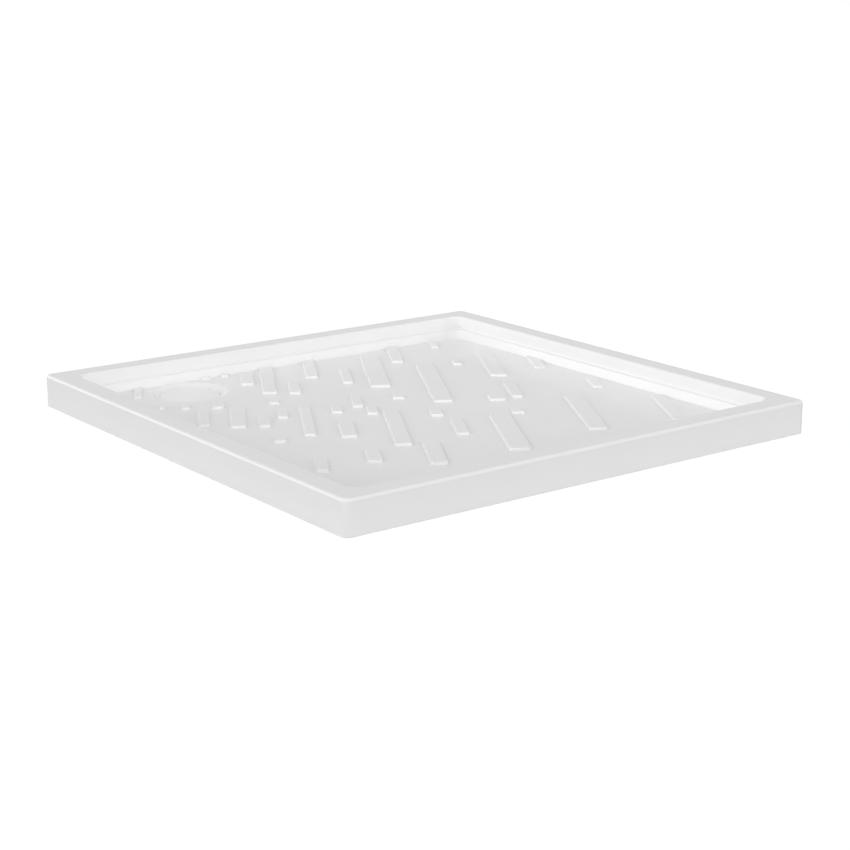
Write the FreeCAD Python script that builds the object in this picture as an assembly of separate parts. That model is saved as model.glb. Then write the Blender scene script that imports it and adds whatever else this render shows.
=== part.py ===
"""Square glazed fireclay shower tray with a raised anti-slip relief and a covered waste.

Millimetres, +Z up. The origin is the centre of the tray's footprint on the plane that it
stands on, and the tray's four sides lie along X and Y. The waste is near the corner at
-X, +Y. Every loose piece is a solid of its own; the tray itself is one casting.
"""
import FreeCAD, Part
import math
import os

from FreeCAD import Vector

# ---------------------------------------------------------------- tray, outside
TRAY_LENGTH = 900.0          # along X
TRAY_WIDTH = 900.0           # along Y
TRAY_HEIGHT = 55.0
OUTER_CORNER_R = 11.0        # upright corners of the skirt
RIM_OUTER_EDGE_R = 4.0       # top outer edge

# ---------------------------------------------------------------- basin
RIM_WIDTH = 40.0             # outer face to basin wall, just under the rounded edge
RIM_INNER_EDGE_R = 4.0
RIM_CORNER_R = 20.0          # basin corner in plan, at the rim
FLOOR_CORNER_R = 26.0        # basin corner in plan, at the floor
FLOOR_HEIGHT = 15.0          # standing surface above the base plane
UPPER_BAND_DEPTH = 20.0      # rim down to the small step in the wall
UPPER_BAND_LEAN = 2.0        # how far the upper band leans into the basin
STEP_DROP = 3.0              # the sloping step between the two bands
STEP_WIDTH = 4.0
LOWER_BAND_LEAN = 4.0
FLOOR_COVE_R = 3.0           # rounding where the wall meets the floor

# ---------------------------------------------------------------- underside
SKIRT_THICKNESS = 12.0       # outer upright wall
RIM_THICKNESS = 12.0         # material above the hollow in the rim
BASIN_WALL_THICKNESS = 12.0  # between the rim's hollow and the basin
HOLLOW_DRAFT = 8.0           # the hollow is this much narrower at the top, so it demoulds
FLOOR_THICKNESS = 12.0       # slab under the standing surface
RIB_THICKNESS = 12.0         # ribs under the slab and webs across the rim's hollow
RIB_COUNT = 3                # ribs each way
FOOT_BAND = 14.0             # solid band that the basin wall stands on
POCKET_CORNER_R = 10.0

# ---------------------------------------------------------------- waste recess
WASTE_FROM_SIDE = 214.0      # centre to the skirt's face at -X
WASTE_FROM_BACK = 118.0      # centre to the skirt's face at +Y
RECESS_TOP_R = 67.5          # edge of the cone at the floor
WELL_R = 51.5                # foot of the cone, and the well under it
CONE_DROP = 6.0              # floor down to the well's edge
LIP_HEIGHT = 4.0             # ledge that the strainer lies on, above the base plane
WASTE_HOLE_R = 45.0          # standard 90 mm waste hole
BOSS_WALL = 12.0             # solid ring round the recess under the slab

# ---------------------------------------------------------------- strainer
SEAT_RING_HEIGHT = 0.5       # elastomer ring that keeps steel off the glaze
SEAT_RING_WIDTH = 3.0
STRAINER_CLEARANCE = 0.8     # strainer's edge to the well
STRAINER_THICKNESS = 1.0
STRAINER_SLOTS = 16
STRAINER_SLOT_WIDTH = 3.5
STRAINER_SLOT_INNER_R = 13.0
STRAINER_SLOT_OUTER_R = 36.0 # solid steel outside this, for the cover's feet

# ---------------------------------------------------------------- waste cover
WATER_GAP = 0.5              # slot between the cover and the well, all round
COVER_SHEET = 1.2            # pressed sheet of the cover
COVER_SKIRT = 2.0            # height of its turned-down edge
COVER_EDGE_CHAMFER = 0.5
PAD_HEIGHT = 0.7             # soft pads under the carrier's feet
PAD_R = 3.0
CARRIER_ARMS = 4
CARRIER_ARM_WIDTH = 6.0
CARRIER_FOOT_R = 3.5
CARRIER_FOOT_CIRCLE_R = 41.0

# ---------------------------------------------------------------- anti-slip relief
BAR_HEIGHT = 4.0
BAR_SIDE_RUN = 0.8           # width of each sloping side in plan: just enough draft
BAR_CORNER_CUT = 2.5         # corners cut at 45 degrees, at the floor
BAR_ANGLE = 60.0             # all bars lie along this direction, from +X
BAR_FIELD = 800.0            # side of the square floor that the layout below is drawn on
BAR_ROOT = 1.0               # how far a bar reaches into the floor and the walls
# Near end's centre x, y, then width and length. Bars that reach a wall run into it.
BAR_LAYOUT = [
    (304, -316, 20, 165), (-15, -294, 34, 212), (-162, -282, 26, 116), (162, -276, 30, 216),
    (-233, -216, 22, 66), (-325, -210, 20, 63), (-30, -171, 20, 90), (-143, -166, 26, 210),
    (124, -123, 20, 28), (-184, -78, 24, 92), (348, -68, 18, 60), (6, -56, 19, 40),
    (191, -38, 19, 104), (-287, -37, 18, 24), (151, -35, 28, 34), (-228, -33, 17, 187),
    (71, 13, 32, 272), (-72, 16, 17, 45), (-257, 55, 19, 56), (-115, 58, 16, 45),
    (-64, 70, 17, 67), (23, 74, 19, 22), (-294, 76, 24, 126), (-205, 83, 16, 40),
    (263, 101, 29, 190), (362, 104, 21, 95), (-334, 118, 17, 90), (47, 161, 34, 232),
    (-166, 170, 17, 22), (-256, 202, 18, 40), (-99, 209, 19, 77), (257, 212, 16, 36),
    (17, 217, 17, 107), (-304, 227, 14, 26), (-134, 236, 23, 210), (-334, 255, 11, 22),
    (-12, 288, 21, 150), (181, 294, 21, 124), (-131, 312, 21, 82), (-333, 341, 14, 80),
    (309, 349, 14, 44), (-133, 386, 15, 36), (-169, 392, 16, 30),
    # along the two near sides
    (-384, -330, 18, 50), (-388, -190, 24, 58), (-392, -60, 16, 50), (-386, 60, 20, 56),
    (-388, 190, 15, 40), (-385, 300, 18, 42), (-300, -385, 22, 62), (-150, -390, 18, 60),
    (-40, -388, 26, 70), (80, -392, 20, 72), (215, -385, 17, 45), (310, -392, 22, 60),
]

# ---------------------------------------------------------------- worked out
WASTE_X = -TRAY_LENGTH / 2 + WASTE_FROM_SIDE
WASTE_Y = TRAY_WIDTH / 2 - WASTE_FROM_BACK
STEP_TOP = TRAY_HEIGHT - UPPER_BAND_DEPTH
STEP_FOOT = STEP_TOP - STEP_DROP
STEP_TOP_INSET = RIM_WIDTH + UPPER_BAND_LEAN
STEP_FOOT_INSET = STEP_TOP_INSET + STEP_WIDTH
FLOOR_INSET = STEP_FOOT_INSET + LOWER_BAND_LEAN
FLOOR_LENGTH = TRAY_LENGTH - 2 * FLOOR_INSET
FLOOR_WIDTH = TRAY_WIDTH - 2 * FLOOR_INSET
SLAB_UNDERSIDE = FLOOR_HEIGHT - FLOOR_THICKNESS
WELL_EDGE_HEIGHT = FLOOR_HEIGHT - CONE_DROP
STRAINER_Z = LIP_HEIGHT + SEAT_RING_HEIGHT
STRAINER_TOP = STRAINER_Z + STRAINER_THICKNESS
STRAINER_R = WELL_R - STRAINER_CLEARANCE
COVER_R = WELL_R - WATER_GAP
COVER_TOP = WELL_EDGE_HEIGHT     # flush with the foot of the cone
CARRIER_Z = STRAINER_TOP + PAD_HEIGHT
CARRIER_TOP = COVER_TOP - COVER_SHEET
OVERCUT = 5.0                # how far a cutting tool stands out past what it cuts
NEAR = 0.01                  # two heights or places closer than this are the same
FILLET_SHARE = 0.999         # a fillet stops this close to using up the wall beside it


def rounded_rectangle(length, width, radius, z, angle=0.0, centre=(0.0, 0.0)):
    """Closed wire of four lines and four arcs, on the plane at z."""
    x, y, r = length / 2, width / 2, radius
    bow = r * (1 - math.sqrt(0.5))
    edges = []
    for turn in range(4):
        half_x, half_y = (x, y) if turn % 2 == 0 else (y, x)
        corner = [Vector(half_x, -half_y + r, 0), Vector(half_x, half_y - r, 0),
                  Vector(half_x - bow, half_y - bow, 0), Vector(half_x - r, half_y, 0)]
        side = Part.LineSegment(corner[0], corner[1]).toShape()
        arc = Part.Arc(corner[1], corner[2], corner[3]).toShape()
        for edge in (side, arc):
            edge.rotate(Vector(0, 0, 0), Vector(0, 0, 1), 90 * turn)
            edges.append(edge)
    wire = Part.Wire(edges)
    wire.rotate(Vector(0, 0, 0), Vector(0, 0, 1), angle)
    wire.translate(Vector(centre[0], centre[1], z))
    return wire


def inset_wire(inset, radius, z):
    """Rounded rectangle this far inside the tray's outline."""
    return rounded_rectangle(TRAY_LENGTH - 2 * inset, TRAY_WIDTH - 2 * inset, radius, z)


def straight_loft(*wires):
    """Solid with flat sides between the given sections."""
    return Part.makeLoft(list(wires), True, True)


def revolved(points, centre):
    """Solid of revolution about a vertical axis from an outline of (radius, height)."""
    outline = [Vector(r, 0, z) for r, z in points]
    face = Part.Face(Part.makePolygon(outline + outline[:1]))
    solid = face.revolve(Vector(0, 0, 0), Vector(0, 0, 1), 360)
    solid.translate(Vector(centre[0], centre[1], 0))
    return solid


def cylinder(radius, bottom, top, x=WASTE_X, y=WASTE_Y):
    return Part.makeCylinder(radius, top - bottom, Vector(x, y, bottom))


def edges_where(shape, test):
    """Edges whose both ends pass the test."""
    return [edge for edge in shape.Edges if all(test(vertex.Point) for vertex in edge.Vertexes)]


# ---------------------------------------------------------------- the casting
def tray_blank():
    """Outer block with rounded upright corners and a rounded top edge."""
    outline = Part.Face(inset_wire(0.0, OUTER_CORNER_R, 0.0))
    block = outline.extrude(Vector(0, 0, TRAY_HEIGHT))
    top_edges = edges_where(block, lambda p: abs(p.z - TRAY_HEIGHT) < NEAR)
    return block.makeFillet(RIM_OUTER_EDGE_R, top_edges)


def basin_mouth():
    """Upright band of the basin that the rim's rounded edge runs into."""
    outline = Part.Face(inset_wire(RIM_WIDTH, RIM_CORNER_R, TRAY_HEIGHT - RIM_INNER_EDGE_R))
    return outline.extrude(Vector(0, 0, RIM_INNER_EDGE_R))


def basin():
    """Space below the mouth: two leaning bands, a small sloping step and a coved floor."""
    mouth_foot = TRAY_HEIGHT - RIM_INNER_EDGE_R
    middle_r = (RIM_CORNER_R + FLOOR_CORNER_R) / 2
    cove_top = FLOOR_HEIGHT + FLOOR_COVE_R
    upper = straight_loft(inset_wire(RIM_WIDTH, RIM_CORNER_R, mouth_foot),
                          inset_wire(STEP_TOP_INSET, middle_r, STEP_TOP))
    step = straight_loft(inset_wire(STEP_TOP_INSET, middle_r, STEP_TOP),
                         inset_wire(STEP_FOOT_INSET, middle_r, STEP_FOOT))
    lower = straight_loft(inset_wire(STEP_FOOT_INSET, middle_r, STEP_FOOT),
                          inset_wire(FLOOR_INSET, FLOOR_CORNER_R, cove_top))
    foot = Part.Face(inset_wire(FLOOR_INSET, FLOOR_CORNER_R, FLOOR_HEIGHT))
    foot = foot.extrude(Vector(0, 0, FLOOR_COVE_R))
    floor_edges = edges_where(foot, lambda p: abs(p.z - FLOOR_HEIGHT) < NEAR)
    foot = foot.makeFillet(FLOOR_COVE_R * FILLET_SHARE, floor_edges)
    return upper.fuse([step, lower, foot])


def rim_hollow():
    """Channel under the rim, open below, with webs left across it in line with the ribs."""
    top = TRAY_HEIGHT - RIM_THICKNESS
    wall_inset = RIM_WIDTH - BASIN_WALL_THICKNESS
    corner = max(OUTER_CORNER_R - SKIRT_THICKNESS, 0.0) + HOLLOW_DRAFT
    outside = straight_loft(inset_wire(SKIRT_THICKNESS, corner, -OVERCUT),
                            inset_wire(SKIRT_THICKNESS, corner, top))
    inside = straight_loft(inset_wire(wall_inset + HOLLOW_DRAFT, RIM_CORNER_R, -2 * OVERCUT),
                           inset_wire(wall_inset, RIM_CORNER_R, top + OVERCUT))
    return outside.cut(inside).cut(ribs(-3 * OVERCUT, TRAY_HEIGHT))


def ribs(bottom, top):
    """Evenly spaced upright plates along X and along Y, over the whole tray."""
    plates = []
    for number in range(RIB_COUNT):
        share = (number + 1) / (RIB_COUNT + 1) - 0.5
        along_x = Part.makeBox(TRAY_LENGTH, RIB_THICKNESS, top - bottom)
        along_x.translate(Vector(-TRAY_LENGTH / 2, share * TRAY_WIDTH - RIB_THICKNESS / 2, bottom))
        along_y = Part.makeBox(RIB_THICKNESS, TRAY_WIDTH, top - bottom)
        along_y.translate(Vector(share * TRAY_LENGTH - RIB_THICKNESS / 2, -TRAY_WIDTH / 2, bottom))
        plates += [along_x, along_y]
    return plates


def slab_pockets():
    """Shallow pockets under the floor slab, between the ribs and clear of the waste boss."""
    inset = FLOOR_INSET + FOOT_BAND - BASIN_WALL_THICKNESS
    bay_x = TRAY_LENGTH / (RIB_COUNT + 1)
    bay_y = TRAY_WIDTH / (RIB_COUNT + 1)
    field_x = TRAY_LENGTH / 2 - inset
    field_y = TRAY_WIDTH / 2 - inset
    boss = cylinder(RECESS_TOP_R + BOSS_WALL, -3 * OVERCUT, TRAY_HEIGHT)
    pockets = []
    for column in range(RIB_COUNT + 1):
        for row in range(RIB_COUNT + 1):
            left = max(-TRAY_LENGTH / 2 + column * bay_x + RIB_THICKNESS / 2, -field_x)
            right = min(-TRAY_LENGTH / 2 + (column + 1) * bay_x - RIB_THICKNESS / 2, field_x)
            near = max(-TRAY_WIDTH / 2 + row * bay_y + RIB_THICKNESS / 2, -field_y)
            far = min(-TRAY_WIDTH / 2 + (row + 1) * bay_y - RIB_THICKNESS / 2, field_y)
            outline = rounded_rectangle(right - left, far - near, POCKET_CORNER_R, -OVERCUT,
                                        centre=((left + right) / 2, (near + far) / 2))
            pocket = Part.Face(outline).extrude(Vector(0, 0, OVERCUT + SLAB_UNDERSIDE))
            pockets.append(pocket)
    return Part.makeCompound(pockets).cut(boss)


def flat_sided(foot, top):
    """Solid with flat faces between two polygons that have matching corners."""
    faces = [Part.Face(Part.makePolygon(ring + ring[:1])) for ring in (foot, top)]
    for number in range(len(foot)):
        quad = [foot[number - 1], foot[number], top[number], top[number - 1]]
        faces.append(Part.Face(Part.makePolygon(quad + quad[:1])))
    solid = Part.Solid(Part.makeShell(faces))
    if solid.Volume < 0:
        solid.reverse()
    return solid


def bar_corners(length, width, inset, z):
    """Eight corners of a bar: its outline at the floor moved inwards by inset, at height z."""
    x, y = length / 2 - inset, width / 2 - inset
    cut = BAR_CORNER_CUT - inset * (2 - math.sqrt(2))
    quarter = [Vector(x, y - cut, z), Vector(x - cut, y, z)]
    half = quarter + [Vector(-p.x, p.y, z) for p in reversed(quarter)]
    return half + [Vector(-p.x, -p.y, z) for p in half]


def anti_slip_bar(x, y, width, length):
    """One raised bar with sloping sides, from under the floor's surface up to its flat top."""
    angle = math.radians(BAR_ANGLE)
    long_at_floor, wide_at_floor = length + BAR_SIDE_RUN, width + BAR_SIDE_RUN
    root_inset = -BAR_SIDE_RUN * BAR_ROOT / BAR_HEIGHT
    bar = flat_sided(
        bar_corners(long_at_floor, wide_at_floor, root_inset, FLOOR_HEIGHT - BAR_ROOT),
        bar_corners(long_at_floor, wide_at_floor, BAR_SIDE_RUN, FLOOR_HEIGHT + BAR_HEIGHT))
    bar.rotate(Vector(0, 0, 0), Vector(0, 0, 1), BAR_ANGLE)
    bar.translate(Vector(x * FLOOR_LENGTH / BAR_FIELD + math.cos(angle) * length / 2,
                         y * FLOOR_WIDTH / BAR_FIELD + math.sin(angle) * length / 2, 0))
    return bar


def anti_slip_relief():
    """All bars, trimmed just inside the foot of the basin wall."""
    reach = FLOOR_INSET - BAR_ROOT
    outline = Part.Face(inset_wire(reach, FLOOR_CORNER_R, FLOOR_HEIGHT - 2 * BAR_ROOT))
    field = outline.extrude(Vector(0, 0, BAR_HEIGHT + 4 * BAR_ROOT))
    trimmed = []
    for x, y, width, length in BAR_LAYOUT:
        bar = anti_slip_bar(x, y, width, length)
        trimmed += bar.common(field).Solids
    return trimmed


def waste_opening():
    """Conical recess, well with a lip for the strainer, and the waste hole."""
    top = TRAY_HEIGHT + OVERCUT
    outline = [(0, -OVERCUT), (WASTE_HOLE_R, -OVERCUT), (WASTE_HOLE_R, LIP_HEIGHT),
               (WELL_R, LIP_HEIGHT), (WELL_R, WELL_EDGE_HEIGHT), (RECESS_TOP_R, FLOOR_HEIGHT),
               (RECESS_TOP_R, top), (0, top)]
    return revolved(outline, (WASTE_X, WASTE_Y))


def tray_body():
    body = tray_blank().cut(basin_mouth())
    mouth = edges_where(body, is_on_rim_mouth)
    body = body.makeFillet(RIM_INNER_EDGE_R * FILLET_SHARE, mouth)
    body = body.cut(basin())
    body = body.cut(rim_hollow())
    body = body.cut(slab_pockets())
    body = body.fuse(anti_slip_relief())
    body = body.cut(waste_opening().common(below_rim()))
    return body.removeSplitter()


def is_on_rim_mouth(point):
    on_top = abs(point.z - TRAY_HEIGHT) < NEAR
    edge_x = TRAY_LENGTH / 2 - RIM_OUTER_EDGE_R - NEAR
    edge_y = TRAY_WIDTH / 2 - RIM_OUTER_EDGE_R - NEAR
    return on_top and abs(point.x) < edge_x and abs(point.y) < edge_y


def below_rim():
    """Block that keeps the waste tool inside the basin's floor area."""
    outline = Part.Face(inset_wire(FLOOR_INSET, FLOOR_CORNER_R, -2 * OVERCUT))
    return outline.extrude(Vector(0, 0, TRAY_HEIGHT + 4 * OVERCUT))


# ---------------------------------------------------------------- strainer and its ring
def strainer_seat_ring():
    outer = cylinder(STRAINER_R, LIP_HEIGHT, STRAINER_Z)
    inner = cylinder(STRAINER_R - SEAT_RING_WIDTH, LIP_HEIGHT - OVERCUT, STRAINER_Z + OVERCUT)
    return outer.cut(inner)


def strainer():
    """Flat steel plate pierced with radial slots."""
    plate = cylinder(STRAINER_R, STRAINER_Z, STRAINER_TOP)
    slots = []
    for number in range(STRAINER_SLOTS):
        slot = Part.makeBox(STRAINER_SLOT_OUTER_R - STRAINER_SLOT_INNER_R, STRAINER_SLOT_WIDTH,
                            STRAINER_THICKNESS + 2 * OVERCUT)
        slot.translate(Vector(STRAINER_SLOT_INNER_R, -STRAINER_SLOT_WIDTH / 2,
                              STRAINER_Z - OVERCUT))
        slot.rotate(Vector(0, 0, 0), Vector(0, 0, 1), 360 * number / STRAINER_SLOTS)
        slot.translate(Vector(WASTE_X, WASTE_Y, 0))
        slots.append(slot)
    return plate.cut(slots)


# ---------------------------------------------------------------- waste cover
def cover_plate():
    """Pressed disc with a turned-down edge."""
    skirt_foot = COVER_TOP - COVER_SKIRT
    disc = cylinder(COVER_R, skirt_foot, COVER_TOP)
    rim = edges_where(disc, lambda p: abs(p.z - COVER_TOP) < NEAR)
    disc = disc.makeChamfer(COVER_EDGE_CHAMFER, rim)
    return disc.cut(cylinder(COVER_R - COVER_SHEET, skirt_foot - OVERCUT, COVER_TOP - COVER_SHEET))


def foot_places():
    for number in range(CARRIER_ARMS):
        turn = 2 * math.pi * (number + 0.5) / CARRIER_ARMS
        yield (WASTE_X + CARRIER_FOOT_CIRCLE_R * math.cos(turn),
               WASTE_Y + CARRIER_FOOT_CIRCLE_R * math.sin(turn), math.degrees(turn))


def cover_carrier():
    """Moulded cross under the cover, with a round foot at each arm's end."""
    pieces = []
    for x, y, turn in foot_places():
        arm = Part.makeBox(CARRIER_FOOT_CIRCLE_R, CARRIER_ARM_WIDTH, CARRIER_TOP - CARRIER_Z)
        arm.translate(Vector(0, -CARRIER_ARM_WIDTH / 2, CARRIER_Z))
        arm.rotate(Vector(0, 0, 0), Vector(0, 0, 1), turn)
        arm.translate(Vector(WASTE_X, WASTE_Y, 0))
        pieces += [arm, cylinder(CARRIER_FOOT_R, CARRIER_Z, CARRIER_TOP, x, y)]
    return pieces[0].fuse(pieces[1:]).removeSplitter()


def cover_pads():
    return Part.makeCompound([cylinder(PAD_R, STRAINER_TOP, CARRIER_Z, x, y)
                              for x, y, turn in foot_places()])


# ---------------------------------------------------------------- write the pieces
PIECES = {
    "tray_body": tray_body,
    "strainer_seat_ring": strainer_seat_ring,
    "strainer": strainer,
    "cover_carrier": cover_carrier,
    "cover_pads": cover_pads,
    "cover_plate": cover_plate,
}

os.makedirs("parts", exist_ok=True)
for node, make in PIECES.items():
    shape = make()
    shape.exportStep(f"parts/{node}.step")
    print(f"{node}: {len(shape.Solids)} solid(s), valid {shape.isValid()}, "
          f"{shape.Volume / 1000:.1f} cm3")
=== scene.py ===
# %% [markdown]
# # A glazed shower tray
# A low square tray of white glazed fireclay, seen from above one corner. Nearly everything in
# view is one casting with one finish, so its look rests on three things: the soft roundings of
# its rim and basin wall, the relief of raised bars on its floor, and a glaze that is glossy
# without being a mirror. The waste in the corner has a white cover, with a strainer under it.

# %% Load the frame
import bmesh
import bpy
import math
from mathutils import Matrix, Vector


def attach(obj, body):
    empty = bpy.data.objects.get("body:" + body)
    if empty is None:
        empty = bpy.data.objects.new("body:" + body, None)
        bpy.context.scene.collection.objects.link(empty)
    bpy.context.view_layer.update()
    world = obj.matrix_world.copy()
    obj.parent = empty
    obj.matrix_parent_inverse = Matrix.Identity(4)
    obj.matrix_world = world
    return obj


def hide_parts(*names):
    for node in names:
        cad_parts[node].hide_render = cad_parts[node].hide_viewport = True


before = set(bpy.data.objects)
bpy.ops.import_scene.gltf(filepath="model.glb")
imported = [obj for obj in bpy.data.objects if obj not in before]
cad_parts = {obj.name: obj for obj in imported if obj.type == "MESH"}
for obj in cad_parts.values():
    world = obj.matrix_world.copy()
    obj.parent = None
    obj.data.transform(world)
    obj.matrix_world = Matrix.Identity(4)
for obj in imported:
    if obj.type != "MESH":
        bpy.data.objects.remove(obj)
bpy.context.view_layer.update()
MM = 0.001

# %% [markdown]
# The sizes below are the casting's own, in millimetres. A point of its section is given by how
# far inside the outline it lies (inset) and by its height, because the same section runs all the
# way round the tray.

# %% Sizes of the casting
HALF_SIDE = 450.0
HEIGHT = 55.0
RIM_WIDTH = 40.0
FLOOR_HEIGHT = 15.0
FLOOR_INSET = 50.0
THICKNESS = 12.0             # of the skirt, of the rim over its hollow, and of the floor
OUTER_CORNER_R = 11.0
RIM_CORNER_R = 20.0
FLOOR_CORNER_R = 26.0
RIM_OUTER_EDGE_R = 5.0
WASTE = (-236.0, 332.0)      # where the waste's axis stands

# %% [markdown]
# A section is first drawn with sharp corners, each with the radius that it is rounded to, and
# then turned into closely spaced points. Drawing it this way keeps the real sizes readable, and
# every rounding stays tangent to the straights beside it.

# %% Helper: round the corners of a section
def rounded(corners, step=math.radians(11)):
    """Points of a section whose corners (a, b, radius) are rounded. Sizes in millimetres."""
    points = [Vector(corners[0][:2])]
    for before, corner, after in zip(corners, corners[1:], corners[2:]):
        here, radius = Vector(corner[:2]), corner[2]
        back = (Vector(before[:2]) - here).normalized()
        ahead = (Vector(after[:2]) - here).normalized()
        turn = math.pi - back.angle(ahead)
        if radius == 0 or turn < 1e-4:
            points.append(here)
            continue
        middle = here + (back + ahead).normalized() * radius / math.cos(turn / 2)
        start = here + back * radius * math.tan(turn / 2) - middle
        side = 1 if back.cross(ahead) < 0 else -1
        count = max(2, math.ceil(turn / step))
        for number in range(count + 1):
            angle = side * turn * number / count
            points.append(middle + Vector((start.x * math.cos(angle) - start.y * math.sin(angle),
                                           start.x * math.sin(angle) + start.y * math.cos(angle))))
    points.append(Vector(corners[-1][:2]))
    return points


# %% Helper: an object from a finished mesh
def as_object(name, bm):
    """Object in the scene from a bmesh whose faces are all turned outwards."""
    bmesh.ops.remove_doubles(bm, verts=bm.verts, dist=1e-6)
    bmesh.ops.recalc_face_normals(bm, faces=bm.faces)
    mesh = bpy.data.meshes.new(name)
    bm.to_mesh(mesh)
    bm.free()
    piece = bpy.data.objects.new(name, mesh)
    bpy.context.scene.collection.objects.link(piece)
    return piece


# %% [markdown]
# ## The casting
# A fireclay tray is cast in a plaster mould and comes out as one body. Its section is the same
# on all four sides, so the upper side is a stack of rounded squares: one for each point of the
# section, joined by strips of faces. A rounded box with bevels would be quicker, but couldn't
# give the basin wall its two bands with the small step between them, or let the corners grow
# wider from the rim down to the floor.

# %% Section from the foot of the skirt, over the rim, down to the floor
FOOT_EDGE_R = 1.0
RIM_INNER_EDGE_R = 4.0
SHOULDER, SHOULDER_R = (42.0, 35.2), 2.0               # where the upper band meets the step
LEDGE, LEDGE_R = ((43.6, 32.2), (46.8, 30.8)), 0.8     # the step's two lower corners
LOWER_BAND_FOOT, COVE_R = FLOOR_INSET + 1.2, 3.2
FLAT_FLOOR = FLOOR_INSET + 6.0

SECTION = rounded([
    (FOOT_EDGE_R, 0.0, 0), (0.0, 0.0, FOOT_EDGE_R),
    (0.0, HEIGHT, RIM_OUTER_EDGE_R), (RIM_WIDTH, HEIGHT, RIM_INNER_EDGE_R),
    (*SHOULDER, SHOULDER_R), (*LEDGE[0], LEDGE_R), (*LEDGE[1], LEDGE_R),
    (LOWER_BAND_FOOT, FLOOR_HEIGHT, COVE_R), (FLAT_FLOOR, FLOOR_HEIGHT, 0)],
    step=math.radians(9))
print("section:", len(SECTION), "points")
CORNER_SHRINK = 0.98         # a corner's radius falls by this much of the inset


def corner_radius(inset):
    """Plan radius of the corners: concentric on the rim, wider towards the floor."""
    if inset < RIM_WIDTH / 2:
        return OUTER_CORNER_R - inset * CORNER_SHRINK
    if inset < RIM_WIDTH:
        return RIM_CORNER_R + RIM_WIDTH - inset
    slope = (FLOOR_CORNER_R - RIM_CORNER_R) / (FLOOR_INSET - RIM_WIDTH)
    return RIM_CORNER_R + slope * min(inset - RIM_WIDTH, FLOOR_INSET - RIM_WIDTH)


# %% Helpers: plans with rounded corners, and a solid stacked from plans
def arc(middle_x, middle_y, radius, quarter, steps):
    """Points of a quarter turn about a middle, anticlockwise. Quarter 0 starts at +X."""
    angles = [math.pi / 2 * (quarter + number / steps) for number in range(steps + 1)]
    return [(middle_x + radius * math.cos(angle), middle_y + radius * math.sin(angle))
            for angle in angles]


def rounded_rectangle(across, along, radius, steps):
    """Plan of a rounded rectangle, anticlockwise, from its spans along X and along Y."""
    left, right = across[0] + radius, across[1] - radius
    near, far = along[0] + radius, along[1] - radius
    middles = ((right, far), (left, far), (left, near), (right, near))
    return [point for quarter, middle in enumerate(middles)
            for point in arc(*middle, radius, quarter, steps)]


def stacked(name, levels):
    """Closed solid through plans of equally many points: a list of (points, height)."""
    bm = bmesh.new()
    rings = [[bm.verts.new((x * MM, y * MM, z * MM)) for x, y in points] for points, z in levels]
    for low, high in zip(rings, rings[1:]):
        for number in range(len(low)):
            bm.faces.new((low[number - 1], low[number], high[number], high[number - 1]))
    bm.faces.new(rings[0])
    bm.faces.new(rings[-1])
    return as_object(name, bm)


# %% The casting's outside
def outline_at(inset):
    """Plan of the casting at an inset of its section."""
    span = (inset - HALF_SIDE, HALF_SIDE - inset)
    return rounded_rectangle(span, span, corner_radius(inset), steps=10)


tray = stacked("tray_casting", [(outline_at(inset), height) for inset, height in SECTION])
print("casting:", len(tray.data.polygons), "faces before its recess and underside are cut")

# %% [markdown]
# The waste recess and the hollow underside are cut with Boolean modifiers, each from a plain
# tool. The recess tool is a turned shape: a short cone, the well that holds the cover, the lip
# that the strainer lies on, and the waste hole. The cone's foot and its upper edge are arcs,
# because a glaze never leaves a sharp edge.

# %% Helpers: plan of a circle, and a profile turned about the waste's axis
def circle_points(radius, steps, centre=(0.0, 0.0)):
    """Plan of a circle; no point lies on an axis, so each belongs to one quarter."""
    angles = [2 * math.pi * (number + 0.5) / steps for number in range(steps)]
    return [(centre[0] + radius * math.cos(angle), centre[1] + radius * math.sin(angle))
            for angle in angles]


def turned(name, profile, steps):
    """Closed solid of revolution about the waste's axis, from (radius, height)."""
    bm = bmesh.new()
    rings = []
    for radius, z in profile:
        plan = circle_points(radius, steps, WASTE) if radius > 0 else [WASTE]
        rings.append([bm.verts.new((x * MM, y * MM, z * MM)) for x, y in plan])
    for low, high in zip(rings, rings[1:]):
        for number in range(steps):
            after = (number + 1) % steps
            corners = [low[number % len(low)], low[after % len(low)],
                       high[after % len(high)], high[number % len(high)]]
            bm.faces.new(list(dict.fromkeys(corners)))
    return as_object(name, bm)


# %% The recess, with its hole, lip, well and cone
WASTE_HOLE_R = 45.0
LIP_HEIGHT = 4.0             # the strainer lies on the lip
WELL_R, WELL_TOP = 51.5, 9.2
CONE_FOOT, CONE_FOOT_R = (57.0, 9.7), 8.0
CONE_TOP, CONE_TOP_R = 67.0, 1.5
CLEAR = CONE_TOP + 2.0       # past the cone the tool stays just above the floor's face
TOOL_FOOT, TOOL_TOP = -5.0, 24.0

recess_tool = turned("recess_tool", rounded([
    (0.0, TOOL_FOOT, 0), (WASTE_HOLE_R, TOOL_FOOT, 0), (WASTE_HOLE_R, LIP_HEIGHT, 0.4),
    (WELL_R, LIP_HEIGHT, 0.5), (WELL_R, WELL_TOP, 0.5), (*CONE_FOOT, CONE_FOOT_R),
    (CONE_TOP, FLOOR_HEIGHT, CONE_TOP_R), (CLEAR, FLOOR_HEIGHT + 0.02, 0),
    (CLEAR, TOOL_TOP, 0), (0.0, TOOL_TOP, 0)]), steps=128)

# %% [markdown]
# Under the rim runs a hollow, so the casting dries and fires evenly, with webs left across it
# where the ribs of the floor meet the skirt. Its inner side leans, so that it leaves the mould.
# The floor's underside has shallow pockets between the ribs, and a boss round the recess.

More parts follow.
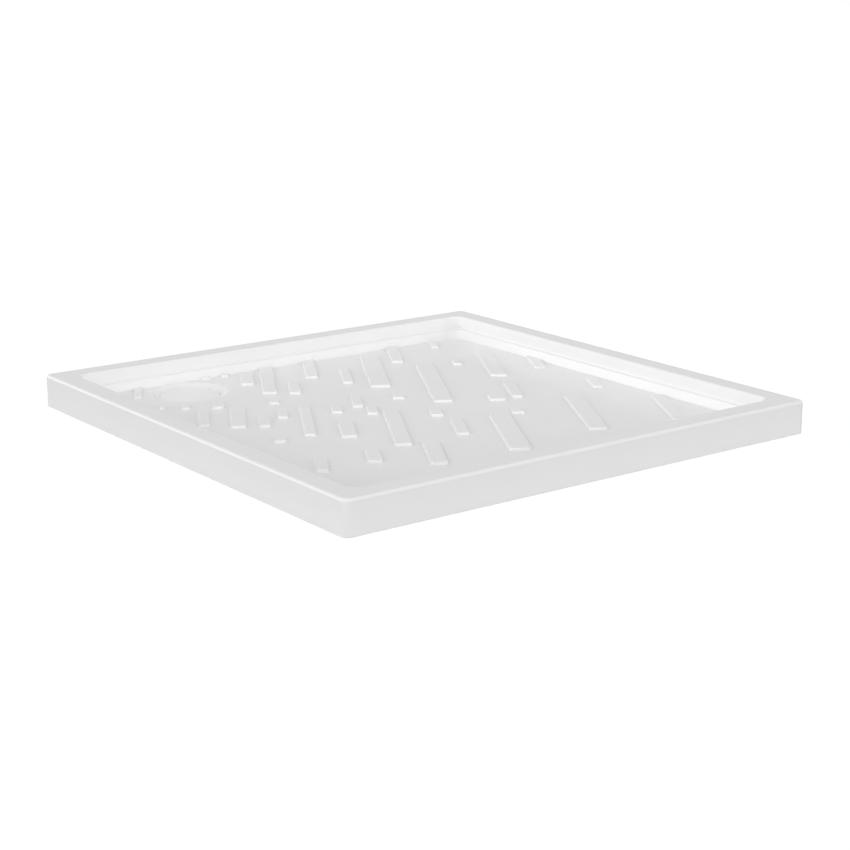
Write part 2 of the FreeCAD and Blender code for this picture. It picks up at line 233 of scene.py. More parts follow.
# %% Sizes of the underside
RIB_PITCH = 225.0
RIB_HALF = 6.0
BELOW = -4.0                 # where the tools begin, clear of the casting's foot
HOLLOW_TOP = HEIGHT - THICKNESS
HOLLOW_OUTER_R = 8.0
HOLLOW_INNER_R = 20.0
LEAN_INSET = 28.0            # inset of the leaning inner side at the height LEAN_TOP
LEAN_TOP = HOLLOW_TOP + 5.0
LEAN_RUN, LEAN_RISE = 8.0, 58.0
POCKET_TOP = FLOOR_HEIGHT - THICKNESS
POCKET_REACH = 398.0         # from the tray's centre, so that the wall's foot stays thick
POCKET_CORNER_R = 10.0
BOSS_R = 79.5
BOSS_REACH = 6.0             # up and down from the tray's base
ARC_STEPS = 6


# %% Tools for the rim's hollow
def turned_quarter(points, quarter):
    """The same plan points, turned by quarter turns about the tray's centre."""
    for _ in range(quarter):
        points = [(-y, x) for x, y in points]
    return points


def hollow_plan(height, quarter, part):
    """Plan of one stretch of the rim's hollow at a height: two straights and one corner a side."""
    inner = HALF_SIDE - (LEAN_INSET + LEAN_RUN * (LEAN_TOP - height) / LEAN_RISE)
    outer = HALF_SIDE - THICKNESS
    if part == "corner":
        start = RIB_PITCH + RIB_HALF
        outer_arc, inner_arc = (arc(face - radius, face - radius, radius, 0, ARC_STEPS)
                                for face, radius in ((outer, HOLLOW_OUTER_R),
                                                     (inner, HOLLOW_INNER_R)))
        return turned_quarter([(inner, start), (outer, start), *outer_arc,
                               (start, outer), (start, inner), *reversed(inner_arc)], quarter)
    near, far = RIB_HALF, RIB_PITCH - RIB_HALF
    if part == "low":
        near, far = -far, -near
    return turned_quarter([(inner, near), (outer, near), (outer, far), (inner, far)], quarter)


hollow_tools = [stacked("hollow_tool", [(hollow_plan(z, quarter, part), z)
                                        for z in (BELOW, HOLLOW_TOP)])
                for quarter in range(4) for part in ("low", "high", "corner")]


# %% Tools for the pockets and the boss
def pocket_span(number):
    """Where a pocket lies between two ribs, along X or along Y."""
    low = -2 * RIB_PITCH + number * RIB_PITCH + RIB_HALF
    high = low + RIB_PITCH - 2 * RIB_HALF
    return max(low, -POCKET_REACH), min(high, POCKET_REACH)


def pocket_plan(column, row):
    """Plan of one pocket: a rounded rectangle between two ribs each way."""
    return rounded_rectangle(pocket_span(column), pocket_span(row), POCKET_CORNER_R, ARC_STEPS)


pocket_tools = [stacked("pocket_tool", [(pocket_plan(column, row), z)
                                        for z in (BELOW, POCKET_TOP)])
                for column in range(4) for row in range(4)]
boss_tool = turned("boss_tool", [(0, -BOSS_REACH), (BOSS_R, -BOSS_REACH),
                                 (BOSS_R, BOSS_REACH), (0, BOSS_REACH)], steps=96)


# %% Helper: keep what the modifiers made
def settle(piece):
    """Makes the piece's modifiers part of its mesh."""
    bpy.context.view_layer.update()
    evaluated = piece.evaluated_get(bpy.context.evaluated_depsgraph_get())
    mesh = bpy.data.meshes.new_from_object(evaluated)
    piece.modifiers.clear()
    old, piece.data = piece.data, mesh
    mesh.name = piece.name
    bpy.data.meshes.remove(old)


# %% Cut the casting
def cut(piece, tools):
    """Cuts each tool out of the piece, and deletes the tools."""
    for tool in tools:
        modifier = piece.modifiers.new("Cut", "BOOLEAN")
        modifier.operation = "DIFFERENCE"
        modifier.solver = "EXACT"
        modifier.object = tool
    settle(piece)
    for tool in tools:
        bpy.data.meshes.remove(tool.data)


def joined(name, tools):
    """One tool made of several that don't touch; the several are deleted."""
    bm = bmesh.new()
    for tool in tools:
        bm.from_mesh(tool.data)
        bpy.data.meshes.remove(tool.data)
    return as_object(name, bm)


pockets = joined("pocket_tools", pocket_tools)
cut(pockets, [boss_tool])
cut(tray, [joined("underside_tool", hollow_tools + [pockets]), recess_tool])
print("casting:", len(tray.data.polygons), "faces, cut")

# %% [markdown]
# The glaze is sprayed on from above, so the underside and the inside of the hollow stay bare
# clay. The upright outer corners get painted shade, a slightly darker grey. Two attributes mark
# both, and the glaze material reads them. Both go by how far a point lies inside the outline, so
# that is worked out first.

# %% Helpers: places seen from the outline
def past_arc(x, y):
    """How far a point lies past the centre of its outer corner's arc, along X and along Y."""
    return [abs(value) - HALF_SIDE + OUTER_CORNER_R for value in (x, y)]


def inset_of(x, y):
    """How far a point lies inside the outline with its rounded corners, in millimetres."""
    past = past_arc(x, y)
    return OUTER_CORNER_R - (math.hypot(*past) if min(past) > 0 else max(past))


# %% Where the casting is bare, and where its corners get painted shade
SKIRT_FOOT_INSET = 1.6       # the glaze reaches round the skirt's foot as far as this
WALL_BACK_INSET = 46.0       # the hollow's faces that look outwards lie within this inset,
HOLLOW_INSET = 37.5          # and its other faces within this one


def is_bare(face):
    """Whether a face of the casting is on its underside or in the rim's hollow."""
    x, y, z = (value / MM for value in face.center)
    inset = inset_of(x, y)
    past_hole = math.hypot(x - WASTE[0], y - WASTE[1]) > WASTE_HOLE_R + 1
    below = z < POCKET_TOP + 0.2 or face.normal.z < -0.5
    faces_out = face.normal.x * x + face.normal.y * y > 50
    reach = WALL_BACK_INSET if faces_out else HOLLOW_INSET
    in_hollow = THICKNESS - 0.5 < inset < reach and z < HOLLOW_TOP + 1
    return in_hollow or (below and past_hole and inset > SKIRT_FOOT_INSET)


def shade_at_corner(vertex):
    """Painted shade: 1 in the middle of an upright outer corner, fading over the rim's edge, and 0
    elsewhere.
    """
    x, y, z = (value / MM for value in vertex.co)
    past = past_arc(x, y)
    fade = min(1.0, (HEIGHT - z) / RIM_OUTER_EDGE_R)
    return fade * math.sin(2 * math.atan2(*past)) if min(past) > 0 else 0.0


bare_marks = [float(is_bare(face)) for face in tray.data.polygons]
# painted shade: how strongly each point of the upright outer corners is darkened
corner_shade_marks = [shade_at_corner(vertex) for vertex in tray.data.vertices]
for name, domain, marks in (("bare_clay", "FACE", bare_marks), ("thin_glaze", "POINT", corner_shade_marks)):
    tray.data.attributes.new(name, "FLOAT", domain).data.foreach_set("value", marks)
print("bare faces:", int(sum(bare_marks)), "of", len(bare_marks))


# %% Shade the casting, and hand it over
def shade(piece):
    """Smooth shading with sharp edges above 38 degrees; large flat faces rule the normals."""
    piece.data.shade_smooth()
    piece.data.set_sharp_from_angle(angle=math.radians(38))
    weighted = piece.modifiers.new("Weighted normals", "WEIGHTED_NORMAL")
    weighted.mode = "FACE_AREA"
    weighted.weight = 80
    weighted.keep_sharp = True
    settle(piece)


shade(tray)
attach(tray, "tray")
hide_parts("tray_body")

# %% [markdown]
# ## The anti-slip bars
# More than fifty low bars all lie along one direction, in many lengths and widths, with the same
# height, the same sloping sides and the same corners. Scaling one bar would spoil its corners, so
# one small round button is modelled, and Geometry Nodes pulls its four quarters apart until it is
# as long and as wide as each bar. Corners and edges keep their true radii, whatever the size.

# %% Where the bars lie: near end's centre x, y, then width and length, in millimetres
BARS = [
    (304, -316, 20, 165), (-15, -294, 34, 212), (-162, -282, 26, 116), (162, -276, 30, 216),
    (-233, -216, 22, 66), (-325, -210, 20, 63), (-30, -171, 20, 90), (-143, -166, 26, 210),
    (124, -123, 20, 28), (-184, -78, 24, 92), (348, -68, 18, 60), (6, -56, 19, 40),
    (191, -38, 19, 104), (-287, -37, 18, 24), (151, -35, 28, 34), (-228, -33, 17, 187),
    (71, 13, 32, 272), (-72, 16, 17, 45), (-257, 55, 19, 56), (-115, 58, 16, 45),
    (-64, 70, 17, 67), (23, 74, 19, 22), (-294, 76, 24, 126), (-205, 83, 16, 40),
    (263, 101, 29, 190), (362, 104, 21, 95), (-334, 118, 17, 90), (47, 161, 34, 232),
    (-166, 170, 17, 22), (-256, 202, 18, 40), (-99, 209, 19, 77), (257, 212, 16, 36),
    (17, 217, 17, 107), (-304, 227, 14, 26), (-134, 236, 23, 210), (-334, 255, 11, 22),
    (-12, 288, 21, 150), (181, 294, 21, 124), (-131, 312, 21, 82), (-333, 341, 14, 80),
    (309, 349, 14, 44), (-133, 386, 15, 36), (-169, 392, 16, 30),
    # along the two near sides, where the rim hides the floor
    (-384, -330, 18, 50), (-388, -190, 24, 58), (-392, -60, 16, 50), (-386, 60, 20, 56),
    (-388, 190, 15, 40), (-385, 300, 18, 42), (-300, -385, 22, 62), (-150, -390, 18, 60),
    (-40, -388, 26, 70), (80, -392, 20, 72), (215, -385, 17, 45), (310, -392, 22, 60),
]
BAR_DIRECTION = math.radians(60)
BAR_HEIGHT = 4.0
BAR_SIDE_RUN = 0.8           # width of each sloping side, seen from above
BAR_ROOT = 5.0               # how far a bar may reach into a wall
BUTTON_R = 3.6               # corner radius of every bar where its side meets the floor
BUTTON_FOOT_R = BUTTON_R + 1.8
BUTTON_DEPTH = 1.0           # how deep a bar's foot is sunk into the floor
FOOT_FILLET_R, TOP_EDGE_R = 1.3, 1.2

layout = bpy.data.meshes.new("bar_layout")
middles = [(x + math.cos(BAR_DIRECTION) * length / 2, y + math.sin(BAR_DIRECTION) * length / 2)
           for x, y, _, length in BARS]
layout.from_pydata([(x * MM, y * MM, FLOOR_HEIGHT * MM) for x, y in middles], [], [])
for name, column in (("bar_width", 2), ("bar_length", 3)):
    values = layout.attributes.new(name, "FLOAT", "POINT")
    values.data.foreach_set("value", [(bar[column] + BAR_SIDE_RUN) * MM for bar in BARS])
bars = bpy.data.objects.new("anti_slip_bars", layout)
bpy.context.scene.collection.objects.link(bars)

# %% One button: foot fillet, sloping side, rounded edge, flat top
side = rounded([(BUTTON_FOOT_R, -0.15, 0), (BUTTON_R, 0.0, FOOT_FILLET_R),
                (BUTTON_R - BAR_SIDE_RUN, BAR_HEIGHT, TOP_EDGE_R), (1.2, BAR_HEIGHT, 0)])
levels = [(BUTTON_FOOT_R, -BUTTON_DEPTH), *side[:-1]]
button = stacked("bar_button", [(circle_points(radius, steps=24), height)
                                for radius, height in levels])
print("button:", len(button.data.polygons), "faces")

# %% [markdown]
# The tree keeps each button vertex's own place as an attribute before the buttons are put on the
# layout's points. Afterwards the sign of that place says which quarter the vertex belongs to, so
# it is moved out by half the bar's length and width less the corner radius.

# %% Helper: one node, with its settings and its inputs
def add_node(tree, kind, settings=None, inputs=None):
    """Adds a node. An input is given a value, or the output socket that feeds it."""
    node = tree.nodes.new(kind)
    for name, value in (settings or {}).items():
        setattr(node, name, value)
    for key, value in (inputs or {}).items():
        if isinstance(value, bpy.types.NodeSocket):
            tree.links.new(value, node.inputs[key])
        else:
            node.inputs[key].default_value = value
    return node


# %% The tree that pulls buttons into bars
def bar_tree():
    tree = bpy.data.node_groups.new("Pulled buttons", "GeometryNodeTree")
    for name, kind in (("Layout", "NodeSocketGeometry"), ("Button", "NodeSocketObject"),
                       ("Corner radius", "NodeSocketFloat"), ("Direction", "NodeSocketFloat"),
                       ("Finish", "NodeSocketMaterial")):
        tree.interface.new_socket(name, in_out="INPUT", socket_type=kind)
    tree.interface.new_socket("Bars", in_out="OUTPUT", socket_type="NodeSocketGeometry")
    given = add_node(tree, "NodeGroupInput").outputs
    place = add_node(tree, "GeometryNodeInputPosition")
    shape = add_node(tree, "GeometryNodeObjectInfo", inputs={"Object": given["Button"]})
    kept = add_node(tree, "GeometryNodeStoreNamedAttribute",
                    {"data_type": "FLOAT_VECTOR", "domain": "POINT"},
                    {"Geometry": shape.outputs["Geometry"], "Name": "button_place",
                     "Value": place.outputs[0]})
    turn = add_node(tree, "ShaderNodeCombineXYZ", inputs={"Z": given["Direction"]})
    put = add_node(tree, "GeometryNodeInstanceOnPoints", inputs={
        "Points": given["Layout"], "Instance": kept.outputs[0], "Rotation": turn.outputs[0]})
    real = add_node(tree, "GeometryNodeRealizeInstances", inputs={0: put.outputs[0]})
    own = add_node(tree, "GeometryNodeInputNamedAttribute", {"data_type": "FLOAT_VECTOR"},
                   {"Name": "button_place"})
    split = add_node(tree, "ShaderNodeSeparateXYZ", inputs={0: own.outputs["Attribute"]})
    pulls = []
    for axis, size_name in (("X", "bar_length"), ("Y", "bar_width")):
        size = add_node(tree, "GeometryNodeInputNamedAttribute", {"data_type": "FLOAT"},
                        {"Name": size_name})
        half = add_node(tree, "ShaderNodeMath", {"operation": "MULTIPLY"},
                        {0: size.outputs["Attribute"], 1: 0.5})
        reach = add_node(tree, "ShaderNodeMath", {"operation": "SUBTRACT"},
                         {0: half.outputs[0], 1: given["Corner radius"]})
        quarter = add_node(tree, "ShaderNodeMath", {"operation": "SIGN"},
                           {0: split.outputs[axis]})
        pulls.append(add_node(tree, "ShaderNodeMath", {"operation": "MULTIPLY"},
                              {0: reach.outputs[0], 1: quarter.outputs[0]}).outputs[0])
    pull = add_node(tree, "ShaderNodeCombineXYZ", inputs={"X": pulls[0], "Y": pulls[1]})
    along = add_node(tree, "ShaderNodeVectorRotate", {"rotation_type": "Z_AXIS"},
                     {"Vector": pull.outputs[0], "Angle": given["Direction"]})
    moved = add_node(tree, "GeometryNodeSetPosition",
                     inputs={"Geometry": real.outputs[0], "Offset": along.outputs[0]})
    dressed = add_node(tree, "GeometryNodeSetMaterial",
                       inputs={"Geometry": moved.outputs[0], "Material": given["Finish"]})
    add_node(tree, "NodeGroupOutput", inputs={0: dressed.outputs[0]})
    return tree


def grow(piece, tree, **values):
    """Runs a tree on a piece with these inputs, and keeps the result as a plain mesh."""
    modifier = piece.modifiers.new(tree.name, "NODES")
    modifier.node_group = tree
    for item in tree.interface.items_tree:
        key = item.name.lower().replace(" ", "_")
        if key in values:
            modifier[item.identifier] = values[key]
    settle(piece)


# %% [markdown]
# ## Finishes
# The glaze is a glass skin a few tenths of a millimetre thick over a white body. It is a plain
# dielectric with an IOR near 1.5 and a low roughness. Two things keep it from looking like
# plastic: a very shallow waviness some 30 mm across, left by the spraying, and a finer orange
# peel a few millimetres across. Its white is broken by a faint clouding. Painted shade makes it
# a little greyer on the rim than on the floor, and on the upright outer corners.

# %% Helpers: a colour from its sRGB hex value, and an empty finish
def srgb(code):
    """Linear RGBA of a colour such as #F2F2F0."""
    parts = [int(code[place:place + 2], 16) / 255 for place in (1, 3, 5)]
    return tuple(part / 12.92 if part <= 0.04045 else ((part + 0.055) / 1.055) ** 2.4
                 for part in parts) + (1.0,)


def new_finish(name):
    """A node material with its tree, its Principled shader, and a point's place on the piece."""
    finish = bpy.data.materials.new(name)
    finish.use_nodes = True
    finish.node_tree.nodes.clear()
    shader = add_node(finish.node_tree, "ShaderNodeBsdfPrincipled")
    add_node(finish.node_tree, "ShaderNodeOutputMaterial", inputs={0: shader.outputs[0]})
    place = add_node(finish.node_tree, "ShaderNodeTexCoord").outputs["Object"]
    return finish, finish.node_tree, shader, place


# %% White glaze over fireclay
CLOUD_SIZE, WAVE_SIZE, PEEL_SIZE, CLAY_GRAIN = 0.09, 0.03, 0.004, 0.002    # in metres
WAVE_DEPTH, PEEL_DEPTH = 0.00012, 0.00001
CLAY_ROUGHNESS = 0.85
glaze, tree, shader, place = new_finish("White glaze over fireclay")
shader.inputs["IOR"].default_value = 1.5
clouds = add_node(tree, "ShaderNodeTexNoise", inputs={"Vector": place, "Scale": 1 / CLOUD_SIZE,
                                                      "Detail": 2.0})
plain_glaze = add_node(tree, "ShaderNodeMix", {"data_type": "RGBA"}, {
    0: clouds.outputs[0], 6: srgb("#F1F1F1"), 7: srgb("#F5F5F5")})
# painted shade: a greyer white for the rim
thin_glaze = add_node(tree, "ShaderNodeMix", {"data_type": "RGBA"}, {
    0: clouds.outputs[0], 6: srgb("#EDEDED"), 7: srgb("#F1F1F1")})
level = add_node(tree, "ShaderNodeSeparateXYZ", inputs={0: place}).outputs["Z"]
# painted shade grows with height, from the floor's face to the rim's top
rim_shade = add_node(tree, "ShaderNodeMapRange", inputs={
    "Value": level, "From Min": FLOOR_HEIGHT * MM, "From Max": HEIGHT * MM})
glaze_white = add_node(tree, "ShaderNodeMix", {"data_type": "RGBA"}, {
    0: rim_shade.outputs[0], 6: plain_glaze.outputs[2], 7: thin_glaze.outputs[2]})
# painted shade on the upright outer corners: a darker grey where the mark is 1
corner_shade_here = add_node(tree, "ShaderNodeAttribute", {"attribute_name": "thin_glaze"})
glaze_white = add_node(tree, "ShaderNodeMix", {"data_type": "RGBA"}, {
    0: corner_shade_here.outputs["Fac"], 6: glaze_white.outputs[2], 7: srgb("#ECECEC")})
grain = add_node(tree, "ShaderNodeTexNoise", inputs={"Vector": place, "Scale": 1 / CLAY_GRAIN,
                                                     "Detail": 4.0})
clay = add_node(tree, "ShaderNodeMix", {"data_type": "RGBA"}, {
    0: grain.outputs[0], 6: srgb("#D9CFBF"), 7: srgb("#EAE2D4")})
bare_here = add_node(tree, "ShaderNodeAttribute", {"attribute_name": "bare_clay"})
colour = add_node(tree, "ShaderNodeMix", {"data_type": "RGBA"}, {
    0: bare_here.outputs["Fac"], 6: glaze_white.outputs[2], 7: clay.outputs[2]})
tree.links.new(colour.outputs[2], shader.inputs["Base Color"])
sheen_break = add_node(tree, "ShaderNodeMapRange", inputs={
    "Value": clouds.outputs[0], "To Min": 0.16, "To Max": 0.22})
roughness = add_node(tree, "ShaderNodeMix", {"data_type": "FLOAT"}, {
    0: bare_here.outputs["Fac"], 2: sheen_break.outputs[0], 3: CLAY_ROUGHNESS})
tree.links.new(roughness.outputs[0], shader.inputs["Roughness"])
waves = add_node(tree, "ShaderNodeTexNoise", inputs={"Vector": place, "Scale": 1 / WAVE_SIZE,
                                                     "Detail": 0.0})
peel = add_node(tree, "ShaderNodeTexNoise", inputs={"Vector": place, "Scale": 1 / PEEL_SIZE,
                                                    "Detail": 1.0})
wavy = add_node(tree, "ShaderNodeBump", inputs={
    "Height": waves.outputs[0], "Distance": WAVE_DEPTH, "Strength": 0.5})
skin = add_node(tree, "ShaderNodeBump", inputs={
    "Height": peel.outputs[0], "Distance": PEEL_DEPTH, "Strength": 0.4,
    "Normal": wavy.outputs[0]})
tree.links.new(skin.outputs[0], shader.inputs["Normal"])
tray.data.materials.append(glaze)

# %% [markdown]
# The waste cover is pressed steel under white enamel. Enamel flows flatter than a tray's glaze,
# so it has no long waves, only a fine peel, and its white is a little lighter.

# %% White enamel on pressed steel
FLOW_SIZE, ENAMEL_PEEL_SIZE = 0.025, 0.002    # in metres
enamel, tree, shader, place = new_finish("White enamel on pressed steel")
flow = add_node(tree, "ShaderNodeTexNoise", inputs={"Vector": place, "Scale": 1 / FLOW_SIZE,
                                                    "Detail": 1.0})
enamel_white = add_node(tree, "ShaderNodeMix", {"data_type": "RGBA"}, {
    0: flow.outputs[0], 6: srgb("#F7F7F7"), 7: srgb("#FAFAFA")})
tree.links.new(enamel_white.outputs[2], shader.inputs["Base Color"])
shader.inputs["Roughness"].default_value = 0.18
peel = add_node(tree, "ShaderNodeTexNoise", inputs={"Vector": place,
                                                    "Scale": 1 / ENAMEL_PEEL_SIZE})
skin = add_node(tree, "ShaderNodeBump", inputs={
    "Height": peel.outputs[0], "Distance": PEEL_DEPTH, "Strength": 0.3})
tree.links.new(skin.outputs[0], shader.inputs["Normal"])

# %% [markdown]
# The pieces under the cover are seen when it is lifted. The strainer is stainless sheet brushed
# in one direction before it was pierced, so its streaks are long and straight: noise stretched
# along X. The carrier is moulded plastic with a spark-eroded grain, and the pads and the ring
# are soft rubber.

# %% Brushed stainless sheet
STREAK_LENGTH, STREAK_WIDTH, SCRATCH_DEPTH = 0.03, 0.0004, 0.00002    # in metres
steel, tree, shader, place = new_finish("Brushed stainless sheet")
shader.inputs["Metallic"].default_value = 1.0
long_grain = add_node(tree, "ShaderNodeMapping", inputs={
    "Vector": place, "Scale": (1 / STREAK_LENGTH, 1 / STREAK_WIDTH, 1 / STREAK_WIDTH)})
streaks = add_node(tree, "ShaderNodeTexNoise", inputs={"Vector": long_grain.outputs[0],
                                                       "Scale": 1.0, "Detail": 3.0})
steel_tone = add_node(tree, "ShaderNodeMix", {"data_type": "RGBA"}, {
    0: streaks.outputs[0], 6: srgb("#BDBDBA"), 7: srgb("#DBDBD8")})
tree.links.new(steel_tone.outputs[2], shader.inputs["Base Color"])
brushed = add_node(tree, "ShaderNodeMapRange", inputs={
    "Value": streaks.outputs[0], "To Min": 0.24, "To Max": 0.42})
tree.links.new(brushed.outputs[0], shader.inputs["Roughness"])
scratches = add_node(tree, "ShaderNodeBump", inputs={
    "Height": streaks.outputs[0], "Distance": SCRATCH_DEPTH, "Strength": 0.3})
tree.links.new(scratches.outputs[0], shader.inputs["Normal"])

# %% Moulded plastic and rubber
def grained(name, dark, light, grain_size, depth, roughness):
    """A matt moulded finish: two close tones and a bump from one grain. Sizes in metres."""
    finish, tree, shader, place = new_finish(name)
    grain = add_node(tree, "ShaderNodeTexNoise", inputs={
        "Vector": place, "Scale": 1 / grain_size, "Detail": 3.0})
    tone = add_node(tree, "ShaderNodeMix", {"data_type": "RGBA"}, {
        0: grain.outputs[0], 6: srgb(dark), 7: srgb(light)})
    tree.links.new(tone.outputs[2], shader.inputs["Base Color"])
    shader.inputs["Roughness"].default_value = roughness
    relief = add_node(tree, "ShaderNodeBump", inputs={
        "Height": grain.outputs[0], "Distance": depth, "Strength": 0.5})
    tree.links.new(relief.outputs[0], shader.inputs["Normal"])
    return finish


carrier_plastic = grained("Grained polypropylene", "#C2C2BE", "#CDCDC9",
                          grain_size=0.0006, depth=0.00003, roughness=0.5)
pad_rubber = grained("Black elastomer", "#191919", "#242424",
                     grain_size=0.0005, depth=0.00002, roughness=0.75)
ring_rubber = grained("Dark grey elastomer", "#262626", "#313131",
                      grain_size=0.0005, depth=0.00002, roughness=0.7)

# %% Grow the bars
grow(bars, bar_tree(), button=button, corner_radius=BUTTON_R * MM, direction=BAR_DIRECTION,
     finish=glaze)
bpy.data.meshes.remove(button.data)
print("bars:", len(bars.data.polygons), "faces")

# %% [markdown]
# Bars that reach a wall run into it. Past the wall's face they would come out in the hollow under
# the rim, so the mesh is cut off a few millimetres inside the wall and closed again.

# %% Trim the bars inside the walls
bm = bmesh.new()
bm.from_mesh(bars.data)
reach = (HALF_SIDE - FLOOR_INSET + BAR_ROOT) * MM
for direction in ((1, 0, 0), (-1, 0, 0), (0, 1, 0), (0, -1, 0)):
    everything = bm.verts[:] + bm.edges[:] + bm.faces[:]
    bmesh.ops.bisect_plane(bm, geom=everything, plane_co=Vector(direction) * reach,
                           plane_no=direction, clear_outer=True)
    open_edges = [edge for edge in bm.edges if edge.is_boundary]
    bmesh.ops.holes_fill(bm, edges=open_edges, sides=0)
print("open edges left on the bars:", sum(edge.is_boundary for edge in bm.edges))
bm.to_mesh(bars.data)
bm.free()
shade(bars)
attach(bars, "tray")

# %% [markdown]
# ## The waste cover
# A disc pressed from sheet, with its edge turned down. It is turned like a pot: one profile about
# the waste's axis. Its top has a crown of a few tenths, as pressed discs do, which gives the
# glossy enamel a slow change of tone in place of a dead flat one.

# %% Cover plate: over the crown to the edge, down, and back under the sheet
COVER_R, COVER_INNER_R = 51.3, 49.8
COVER_TOP, COVER_EDGE_TOP, COVER_FOOT = 9.0, 8.72, 7.0
SHEET_UNDERSIDE = 7.8

cover = turned("waste_cover_disc", [
    Vector((0.0, COVER_TOP)),
    *rounded([(12.0, 8.985, 0), (30.0, 8.9, 30), (COVER_R, COVER_EDGE_TOP, 0.5),
              (COVER_R, COVER_FOOT, 0.2), (COVER_INNER_R, COVER_FOOT, 0.2),
              (COVER_INNER_R, 7.6, 0.3), (30.0, 7.75, 0)]),
    Vector((0.0, SHEET_UNDERSIDE))], steps=128)
shade(cover)
cover.data.materials.append(enamel)
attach(cover, "cover")
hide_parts("cover_plate")

# %% Finishes on the pieces that keep their shape from the frame
for node, finish in (("strainer", steel), ("strainer_seat_ring", ring_rubber),
                     ("cover_carrier", carrier_plastic), ("cover_pads", pad_rubber)):
    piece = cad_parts[node]
    piece.data.materials.clear()
    piece.data.materials.append(finish)

# %% [markdown]
# ## The studio
# The photograph shows the tray cut out on white. The ground is therefore white to the camera, by
# its own glow. For reflections the glow is halved, because a real studio's floor is darker than
# a cut-out's white. Its diffuse share takes the tray's soft shadow and sends light back up.

# %% Ground
GROUND_HALF = 12.0           # in metres, as is the drop that keeps it off the tray's foot
GROUND_DROP = 0.0002
GLOW_MIRRORED, GLOW_SEEN = 0.5, 0.97

bm = bmesh.new()
bmesh.ops.create_grid(bm, x_segments=1, y_segments=1, size=GROUND_HALF)
ground = as_object("ground", bm)
ground.location.z = -GROUND_DROP
paper = bpy.data.materials.new("White ground")
paper.use_nodes = True
tree = paper.node_tree
tree.nodes.clear()
seen = add_node(tree, "ShaderNodeLightPath").outputs
clear_view = seen["Is Camera Ray"]
for ray in ("Is Glossy Ray", "Is Transmission Ray"):
    clear_view = add_node(tree, "ShaderNodeMath", {"operation": "MAXIMUM"},
                          {0: clear_view, 1: seen[ray]}).outputs[0]
whiteness = add_node(tree, "ShaderNodeMapRange", inputs={
    "Value": seen["Is Camera Ray"], "To Min": GLOW_MIRRORED, "To Max": GLOW_SEEN})
glow = add_node(tree, "ShaderNodeEmission", inputs={"Color": srgb("#FFFFFF"),
                                                    "Strength": whiteness.outputs[0]})
matt = add_node(tree, "ShaderNodeBsdfDiffuse", inputs={"Color": srgb("#B3B3B3")})
faint = add_node(tree, "ShaderNodeBsdfDiffuse", inputs={"Color": srgb("#4D4D4D")})
lit = add_node(tree, "ShaderNodeAddShader", inputs={0: glow.outputs[0], 1: faint.outputs[0]})
ground_shader = add_node(tree, "ShaderNodeMixShader", inputs={
    0: clear_view, 1: matt.outputs[0], 2: lit.outputs[0]})
add_node(tree, "ShaderNodeOutputMaterial", inputs={0: ground_shader.outputs[0]})
ground.data.materials.append(paper)

# %% [markdown]
# Three kinds of light shape the white glaze. The world lights it evenly from all sides. Two broad
# lamps, one on the left and one low on the right, make the upright faces a little brighter than
# the level ones. The third is a tall soft panel behind the left side: it is only part of what the
# glaze mirrors, and turns the lower band of the right wall nearly white, as in the photograph.

# %% World: even light, a panel in the reflections, and plain white for the camera
EVEN_LIGHT = 0.48
PANEL_DIRECTION = (-0.602, 0.771, 0.208)
PANEL_EDGE, PANEL_FULL = 0.848, 0.951      # cosines of the angle from the panel's middle
MIRRORED_LIGHT, MIRRORED_PANEL = 0.8, 2.2

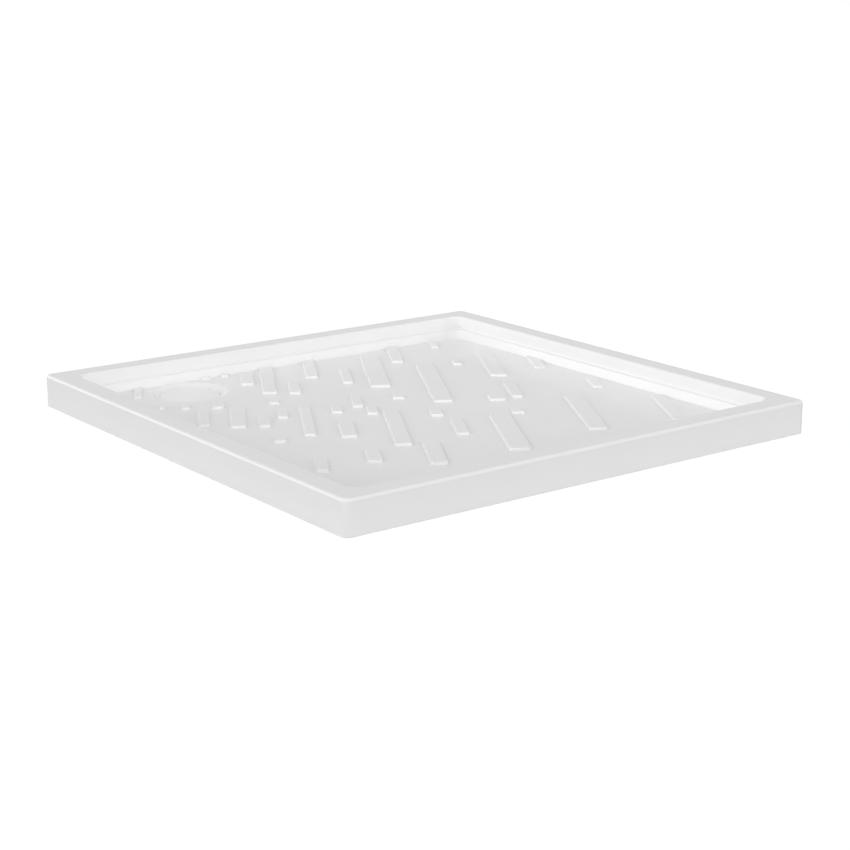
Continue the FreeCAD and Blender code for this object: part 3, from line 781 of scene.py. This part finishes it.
world = bpy.data.worlds.new("Even studio light")
world.use_nodes = True
tree = world.node_tree
tree.nodes.clear()
seen = add_node(tree, "ShaderNodeLightPath").outputs
towards = add_node(tree, "ShaderNodeTexCoord").outputs["Generated"]
near_panel = add_node(tree, "ShaderNodeVectorMath", {"operation": "DOT_PRODUCT"},
                      {0: towards, 1: PANEL_DIRECTION})
panel = add_node(tree, "ShaderNodeMapRange", {"interpolation_type": "SMOOTHSTEP"}, {
    "Value": near_panel.outputs["Value"], "From Min": PANEL_EDGE, "From Max": PANEL_FULL,
    "To Min": MIRRORED_LIGHT, "To Max": MIRRORED_PANEL})
mirrored = add_node(tree, "ShaderNodeMapRange", inputs={
    "Value": seen["Is Glossy Ray"], "To Min": EVEN_LIGHT, "To Max": panel.outputs[0]})
strength = add_node(tree, "ShaderNodeMapRange", inputs={
    "Value": seen["Is Camera Ray"], "To Min": mirrored.outputs[0], "To Max": 1.0})
light = add_node(tree, "ShaderNodeBackground", inputs={
    "Color": srgb("#FFFFFF"), "Strength": strength.outputs[0]})
add_node(tree, "ShaderNodeOutputWorld", inputs={0: light.outputs[0]})
bpy.context.scene.world = world


# %% Lamps
def soft_lamp(name, towards, strength, spread):
    """A distant broad lamp that shines from a direction; its spread is in degrees."""
    lamp = bpy.data.lights.new(name, "SUN")
    lamp.energy = strength
    lamp.angle = math.radians(spread)
    holder = bpy.data.objects.new(name, lamp)
    holder.rotation_mode = "QUATERNION"
    holder.rotation_quaternion = Vector(towards).to_track_quat("Z", "Y")
    holder.visible_glossy = False
    bpy.context.scene.collection.objects.link(holder)


soft_lamp("Lamp on the left", towards=(-0.940, 0.0, 0.342), strength=1.74, spread=60)
soft_lamp("Low lamp on the right", towards=(0.274, -0.956, 0.105), strength=1.95, spread=60)

# %% [markdown]
# ## The camera
# The photograph was taken with a fairly long lens, from a little above the tray and on the side
# of its nearest corner. Place, direction and focal length were worked out from the picture's
# eight outer corners.

# %% Camera
CAMERA_PLACE = (-1.8124, -2.4414, 0.8077)
CAMERA_LOOK = (0.57999, 0.77205, -0.25991)

camera = bpy.data.objects.new("camera", bpy.data.cameras.new("camera"))
camera.data.sensor_width = 36.0
camera.data.lens = 80.15
camera.data.clip_start = 0.1
camera.data.clip_end = 60.0
camera.location = CAMERA_PLACE
camera.rotation_mode = "QUATERNION"
camera.rotation_quaternion = Vector(CAMERA_LOOK).to_track_quat("-Z", "Y")
bpy.context.scene.collection.objects.link(camera)
bpy.context.scene.camera = camera
bpy.context.scene.view_settings.view_transform = "Standard"
